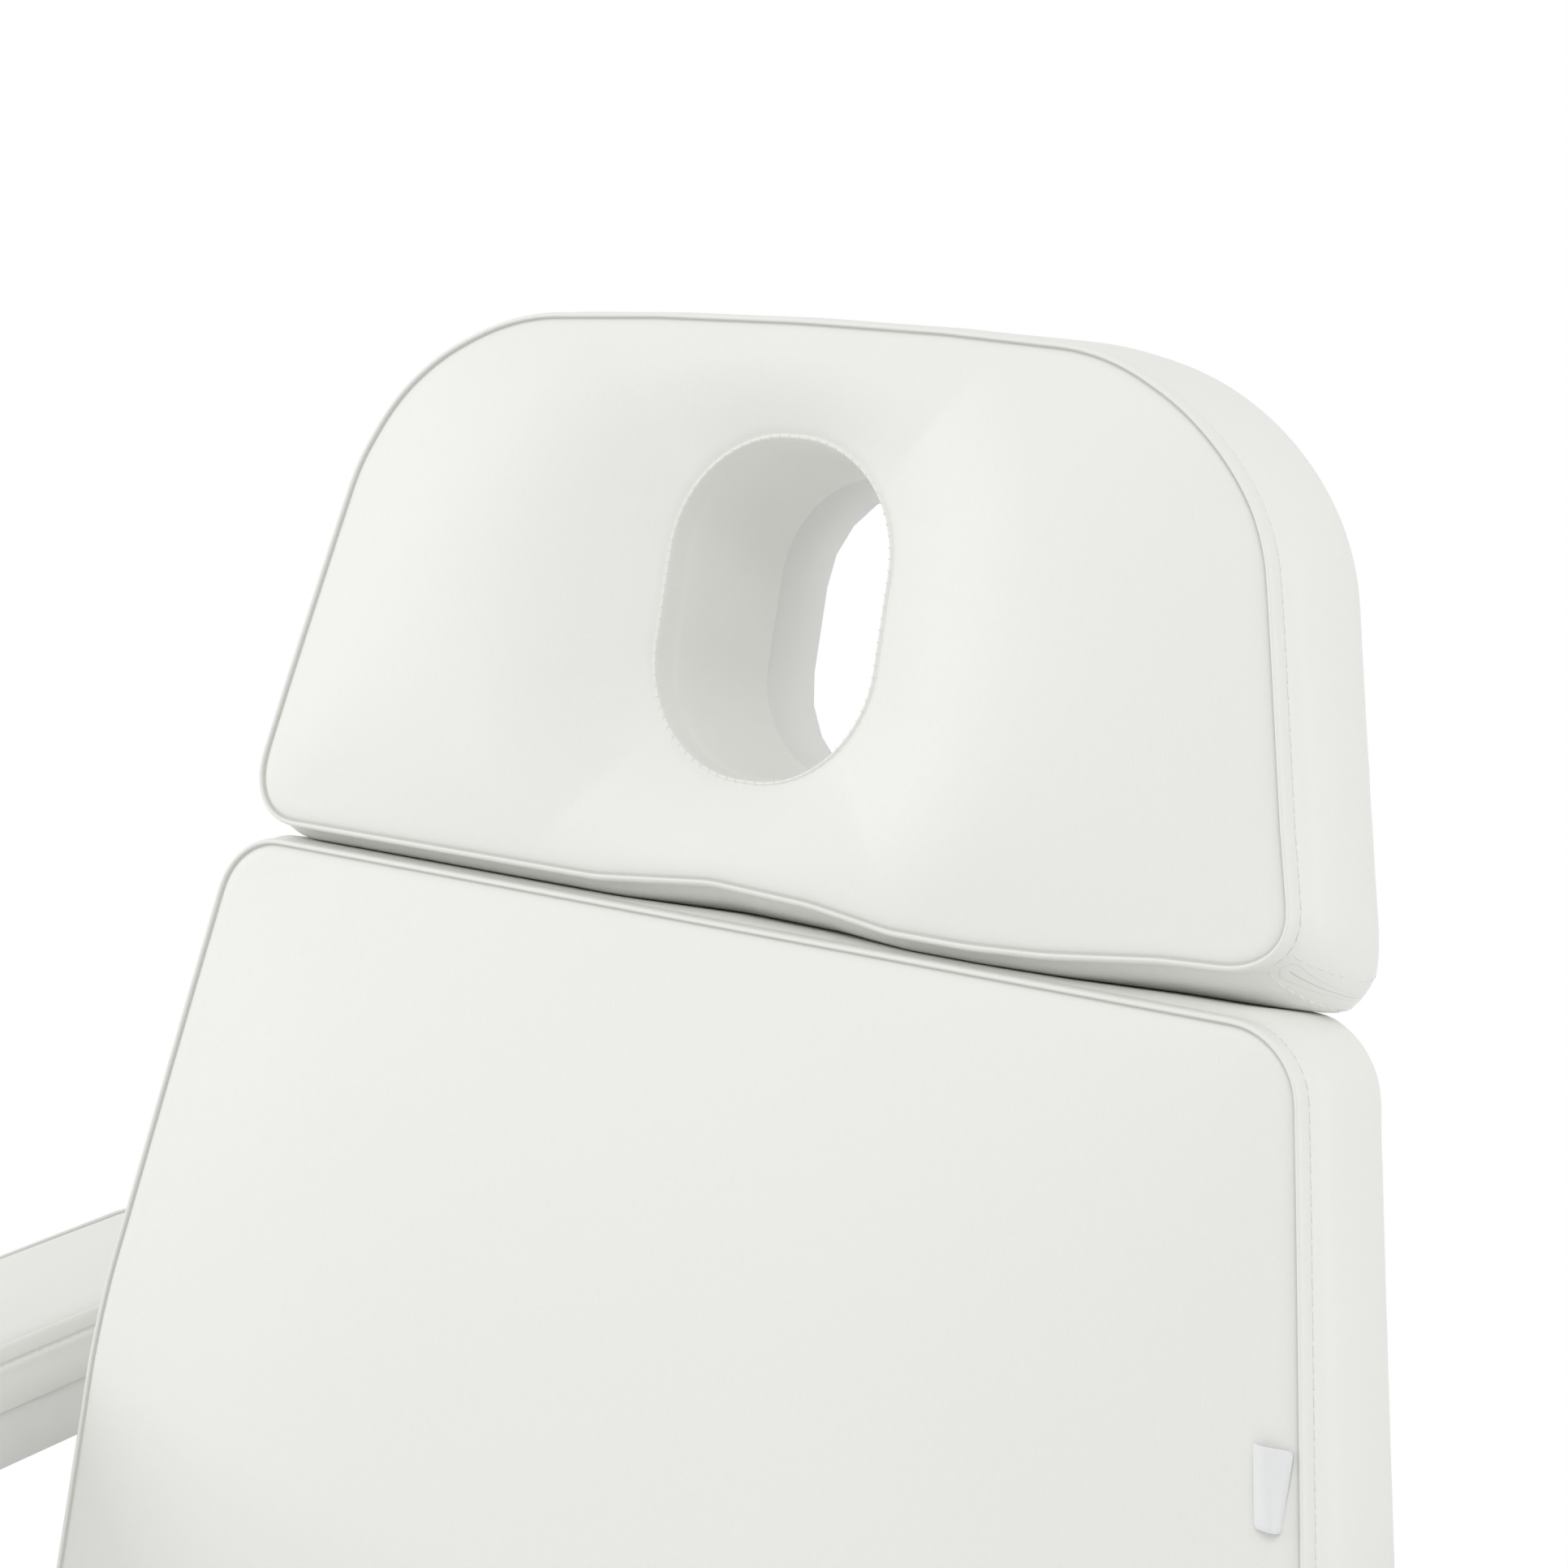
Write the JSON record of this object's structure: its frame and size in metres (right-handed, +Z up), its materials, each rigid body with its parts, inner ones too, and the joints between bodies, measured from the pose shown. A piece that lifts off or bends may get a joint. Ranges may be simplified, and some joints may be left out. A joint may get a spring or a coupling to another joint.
{
  "type": "beauty treatment chair",
  "caption": "Upholstered reclining treatment chair with a face-hole headrest, swing-up armrests and a leg rest on a swivelling hydraulic pedestal.",
  "frame": {"origin": "centre of the base's underside, on the axis of the lift and the swivel", "axes": "+Z up, the sitter faces -Y, the sitter's left is +X"},
  "size_m": [0.892, 1.1662, 1.3194],
  "materials": {
    "white_leather": "satin",
    "white_paint": "satin",
    "chrome": "polished",
    "zinc_steel": "satin",
    "plywood": "matte",
    "white_shell": "satin",
    "rubber": "matte",
    "grey_plastic": "satin",
    "white_fabric": "matte"
  },
  "bodies": {
    "base": {"base_plate": "white_paint", "base_rim": "rubber", "pump_housing": "white_paint", "pump_bolts": "zinc_steel", "wiper_ring": "rubber", "pedal_bracket": "white_paint", "pedal_pin": "zinc_steel"},
    "pedal": {"pedal_lever": "white_paint", "pedal_pad": "rubber"},
    "plunger": {"pump_plunger": "zinc_steel"},
    "piston": {"lift_piston": "chrome", "thrust_washer": "grey_plastic"},
    "seat": {"swivel_head": "white_paint", "swivel_bolts": "zinc_steel", "seat_rails": "white_paint", "seat_crosses": "white_paint", "seat_board": "plywood", "seat_pad": "white_leather", "seat_screws": "zinc_steel", "hinge_cheeks": "white_paint", "hinge_pins": "zinc_steel", "clamp_studs": "zinc_steel", "armrest_posts": "white_paint", "armrest_pins": "zinc_steel"},
    "backrest": {"back_arms": "white_paint", "back_uprights": "white_paint", "back_crosses": "white_paint", "rod_guides": "white_paint", "back_board": "plywood", "back_pad": "white_leather", "back_screws": "zinc_steel", "care_tag": "white_fabric"},
    "carriage": {"headrest_rods": "chrome", "carriage_bar": "white_paint", "tilt_pins": "zinc_steel"},
    "headrest": {"headrest_bracket": "white_paint", "headrest_cover": "white_shell", "headrest_board": "plywood", "headrest_pad": "white_leather", "headrest_screws": "zinc_steel"},
    "tilt_knob": {"tilt_knob": "grey_plastic"},
    "rod_knob_left": {"rod_knob_left": "grey_plastic"},
    "rod_knob_right": {"rod_knob_right": "grey_plastic"},
    "legrest": {"leg_arms": "white_paint", "leg_rails": "white_paint", "leg_crosses": "white_paint", "leg_board": "plywood", "leg_pad": "white_leather", "leg_screws": "zinc_steel"},
    "armrest_left": {"armrest_pad_left": "white_leather", "armrest_shell_left": "white_shell", "armrest_bracket_left": "white_paint"},
    "armrest_right": {"armrest_pad_right": "white_leather", "armrest_shell_right": "white_shell", "armrest_bracket_right": "white_paint"},
    "back_lever_left": {"back_lever_left": "grey_plastic"},
    "back_lever_right": {"back_lever_right": "grey_plastic"},
    "leg_lever_left": {"leg_lever_left": "grey_plastic"},
    "leg_lever_right": {"leg_lever_right": "grey_plastic"},
    "swivel_lever": {"swivel_lever": "grey_plastic"}
  },
  "joints": [
    {"name": "lift", "type": "slide", "parent": "base", "child": "piston", "axis": [0, 0, 1], "range_m": [0, 0.16]},
    {"name": "swivel", "type": "hinge", "parent": "piston", "child": "seat", "pos_m": [0, 0, 0.372], "axis": [0, 0, 1], "continuous": true},
    {"name": "pedal_hinge", "type": "hinge", "parent": "base", "child": "pedal", "pos_m": [0, 0.112, 0.09], "axis": [-1, 0, 0], "range_deg": [0, 15], "stiffness_Nm_per_rad": 40, "springref_deg": -20.05},
    {"name": "plunger_slide", "type": "slide", "parent": "base", "child": "plunger", "axis": [0, 0, 1], "range_m": [0, 0.0096]},
    {"name": "back_recline", "type": "hinge", "parent": "seat", "child": "backrest", "pos_m": [0, 0.262, 0.57], "axis": [-1, 0, 0], "range_deg": [0, 75]},
    {"name": "leg_lift", "type": "hinge", "parent": "seat", "child": "legrest", "pos_m": [0, -0.262, 0.472], "axis": [-1, 0, 0], "range_deg": [0, 60]},
    {"name": "headrest_slide", "type": "slide", "parent": "backrest", "child": "carriage", "axis": [0, 0.2588, 0.9659], "range_m": [0, 0.12]},
    {"name": "headrest_tilt", "type": "hinge", "parent": "carriage", "child": "headrest", "pos_m": [0, 0.53315, 1.07192], "axis": [-1, 0, 0], "range_deg": [0, 50]},
    {"name": "tilt_knob_turn", "type": "hinge", "parent": "carriage", "child": "tilt_knob", "pos_m": [0.145, 0.53315, 1.07192], "axis": [1, 0, 0], "range_deg": [0, 180]},
    {"name": "rod_knob_left_turn", "type": "hinge", "parent": "backrest", "child": "rod_knob_left", "pos_m": [0.11, 0.5192, 0.96385], "axis": [0, -0.9659, 0.2588], "range_deg": [0, 180]},
    {"name": "rod_knob_right_turn", "type": "hinge", "parent": "backrest", "child": "rod_knob_right", "pos_m": [-0.11, 0.5192, 0.96385], "axis": [0, -0.9659, 0.2588], "range_deg": [0, 180]},
    {"name": "armrest_left_raise", "type": "hinge", "parent": "seat", "child": "armrest_left", "pos_m": [0.3755, 0.242, 0.751], "axis": [-1, 0, 0], "range_deg": [0, 90]},
    {"name": "armrest_right_raise", "type": "hinge", "parent": "seat", "child": "armrest_right", "pos_m": [-0.3755, 0.242, 0.751], "axis": [-1, 0, 0], "range_deg": [0, 90]},
    {"name": "back_lever_left_turn", "type": "hinge", "parent": "seat", "child": "back_lever_left", "pos_m": [0.341, 0.22441, 0.55632], "axis": [-1, 0, 0], "range_deg": [0, 90]},
    {"name": "back_lever_right_turn", "type": "hinge", "parent": "seat", "child": "back_lever_right", "pos_m": [-0.341, 0.22441, 0.55632], "axis": [-1, 0, 0], "range_deg": [0, 90]},
    {"name": "leg_lever_left_turn", "type": "hinge", "parent": "seat", "child": "leg_lever_left", "pos_m": [0.341, -0.242, 0.50664], "axis": [1, 0, 0], "range_deg": [0, 90]},
    {"name": "leg_lever_right_turn", "type": "hinge", "parent": "seat", "child": "leg_lever_right", "pos_m": [-0.341, -0.242, 0.50664], "axis": [1, 0, 0], "range_deg": [0, 90]},
    {"name": "swivel_lever_turn", "type": "hinge", "parent": "seat", "child": "swivel_lever", "pos_m": [0.054, 0, 0.403], "axis": [1, 0, 0], "range_deg": [0, 60]}
  ],
  "couplings": [
    {"joint": "plunger_slide", "follows": "pedal_hinge", "m_per_rad": 0.036}
  ]
}
